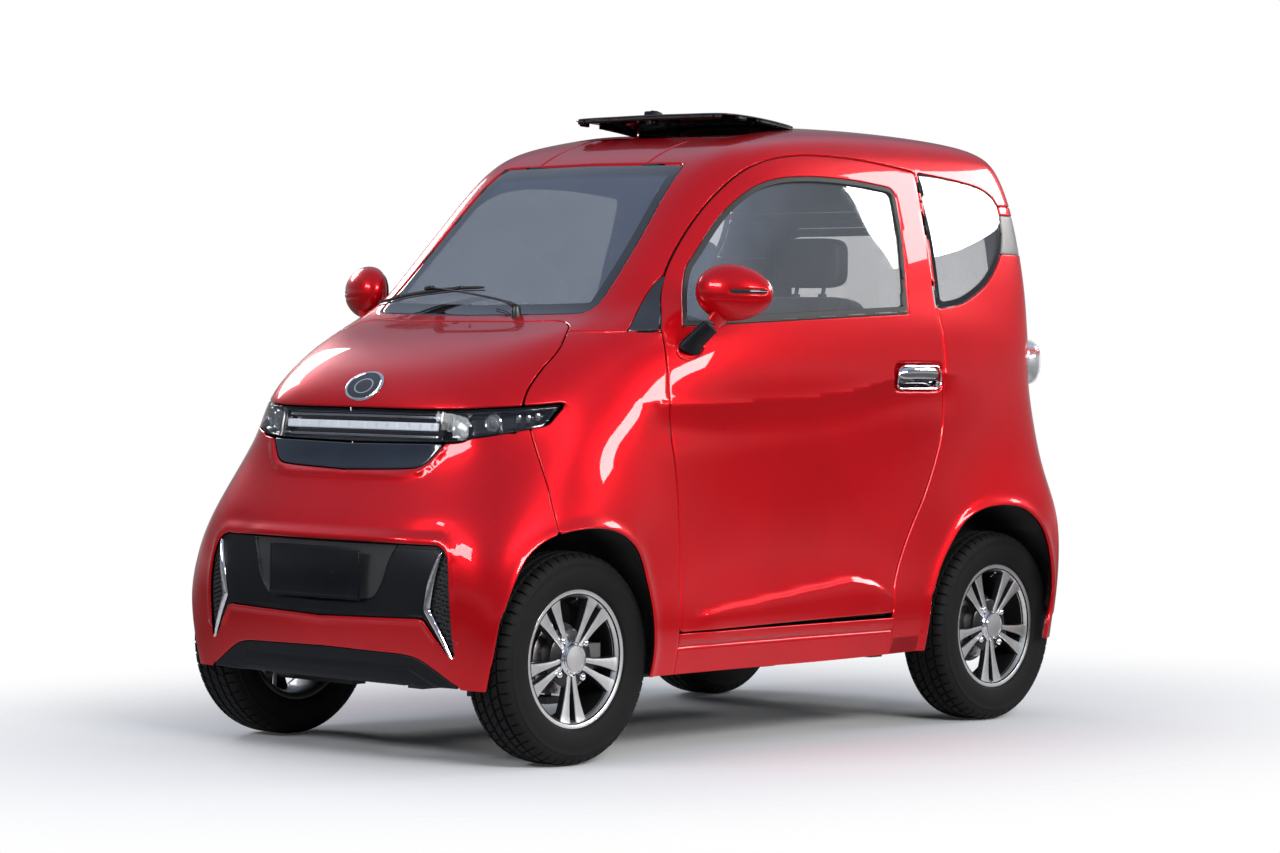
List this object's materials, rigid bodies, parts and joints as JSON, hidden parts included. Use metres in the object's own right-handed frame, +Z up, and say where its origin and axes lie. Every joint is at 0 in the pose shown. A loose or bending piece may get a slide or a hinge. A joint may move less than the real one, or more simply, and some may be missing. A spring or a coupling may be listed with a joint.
{
  "type": "microcar",
  "caption": "Two-seat electric cabin microcar with steering, four turning wheels, side doors, bonnet, tailgate and a tilting roof glass.",
  "frame": {"origin": "on the ground, under the middle of the car's bounding box (middle of the wheelbase)", "axes": "+Y to the rear, the nose is at -Y, +X to the car's left side, +Z up"},
  "size_m": [1.4654, 2.34, 1.6087],
  "materials": {
    "body_paint": "metallic red paint under a clear coat",
    "black_plastic": "fine grained",
    "gloss_black": "gloss",
    "glass": "clear, lightly tinted",
    "dark_glass": "dark tinted",
    "lamp_glass": "smoked lens",
    "lamp_lens": "ribbed clear and red lens",
    "plate_black": "blank plate",
    "chrome": "polished",
    "wiper_black": "satin",
    "trim_plastic": "soft grained",
    "seat_cover": "sewn cover",
    "frame_steel": "black coated",
    "axle_iron": "cast",
    "battery_case": "moulded case",
    "liner": "textured liner",
    "tyre": "moulded rubber",
    "alloy": "machined face, dark pockets"
  },
  "bodies": {
    "car_body": {"chassis_rails": "frame_steel", "cross_members": "frame_steel", "beam_brackets": "frame_steel", "bumper_beams": "frame_steel", "floor_pan": "liner", "battery_pack": "battery_case", "front_bumper": "body_paint", "grille_panel": "black_plastic", "lower_lip": "black_plastic", "light_bar": "lamp_glass", "nose_glass": "gloss_black", "front_fenders": "body_paint", "cabin_frame": "body_paint", "windshield": "glass", "rear_quarters": "body_paint", "quarter_windows": "glass", "side_sills": "body_paint", "rear_bumper": "body_paint", "number_plates": "plate_black", "tail_lamps": "lamp_lens", "wiper": "wiper_black", "dashboard": "trim_plastic", "seats": "seat_cover", "front_subframe": "frame_steel", "front_arms": "frame_steel", "front_springs": "frame_steel", "steering_rack": "axle_iron", "rear_axle": "axle_iron", "rear_motor": "axle_iron", "rear_springs": "frame_steel"},
    "hood_body": {"hood": "body_paint"},
    "tailgate_body": {"tailgate": "body_paint", "tailgate_glass": "glass"},
    "left_door_body": {"left_door": "body_paint", "left_door_glass": "glass", "left_mirror": "body_paint", "left_door_handle": "chrome"},
    "right_door_body": {"right_door": "body_paint", "right_door_glass": "glass", "right_mirror": "body_paint", "right_door_handle": "chrome"},
    "sunroof_body": {"sunroof_glass": "dark_glass"},
    "steering_wheel_body": {"steering_wheel": "trim_plastic"},
    "left_hub": {"left_knuckle": "axle_iron"},
    "right_hub": {"right_knuckle": "axle_iron"},
    "left_front_wheel": {"left_front_tyre": "tyre", "left_front_rim": "alloy"},
    "right_front_wheel": {"right_front_tyre": "tyre", "right_front_rim": "alloy"},
    "left_rear_wheel": {"left_rear_tyre": "tyre", "left_rear_rim": "alloy"},
    "right_rear_wheel": {"right_rear_tyre": "tyre", "right_rear_rim": "alloy"}
  },
  "joints": [
    {"name": "left_steer", "type": "hinge", "parent": "car_body", "child": "left_hub", "pos_m": [0.45, -0.824, 0.254], "axis": [0, 0, 1], "range_deg": [-25, 25]},
    {"name": "right_steer", "type": "hinge", "parent": "car_body", "child": "right_hub", "pos_m": [-0.45, -0.824, 0.254], "axis": [0, 0, 1], "range_deg": [-25, 25]},
    {"name": "steering_wheel_turn", "type": "hinge", "parent": "car_body", "child": "steering_wheel_body", "pos_m": [0.225, -0.265, 0.95], "axis": [0, 0.8829, 0.4695], "range_deg": [-400, 400]},
    {"name": "left_front_spin", "type": "hinge", "parent": "left_hub", "child": "left_front_wheel", "pos_m": [0.4805, -0.824, 0.254], "axis": [1, 0, 0], "continuous": true},
    {"name": "right_front_spin", "type": "hinge", "parent": "right_hub", "child": "right_front_wheel", "pos_m": [-0.4805, -0.824, 0.254], "axis": [1, 0, 0], "continuous": true},
    {"name": "left_rear_spin", "type": "hinge", "parent": "car_body", "child": "left_rear_wheel", "pos_m": [0.4805, 0.824, 0.254], "axis": [1, 0, 0], "continuous": true},
    {"name": "right_rear_spin", "type": "hinge", "parent": "car_body", "child": "right_rear_wheel", "pos_m": [-0.4805, 0.824, 0.254], "axis": [1, 0, 0], "continuous": true},
    {"name": "left_door_hinge", "type": "hinge", "parent": "car_body", "child": "left_door_body", "pos_m": [0.58, -0.49, 0.7], "axis": [0, 0, -1], "range_deg": [0, 65]},
    {"name": "right_door_hinge", "type": "hinge", "parent": "car_body", "child": "right_door_body", "pos_m": [-0.58, -0.49, 0.7], "axis": [0, 0, 1], "range_deg": [0, 65]},
    {"name": "hood_hinge", "type": "hinge", "parent": "car_body", "child": "hood_body", "pos_m": [0, -0.658, 1.064], "axis": [-1, 0, 0], "range_deg": [0, 50]},
    {"name": "tailgate_hinge", "type": "hinge", "parent": "car_body", "child": "tailgate_body", "pos_m": [0, 1.036, 1.384], "axis": [1, 0, 0], "range_deg": [0, 75]},
    {"name": "sunroof_tilt", "type": "hinge", "parent": "car_body", "child": "sunroof_body", "pos_m": [0, 0.296, 1.584], "axis": [1, 0, 0], "range_deg": [0, 11.4]}
  ],
  "couplings": [
    {"joint": "right_steer", "follows": "left_steer", "ratio": 1},
    {"joint": "steering_wheel_turn", "follows": "left_steer", "ratio": 15}
  ]
}
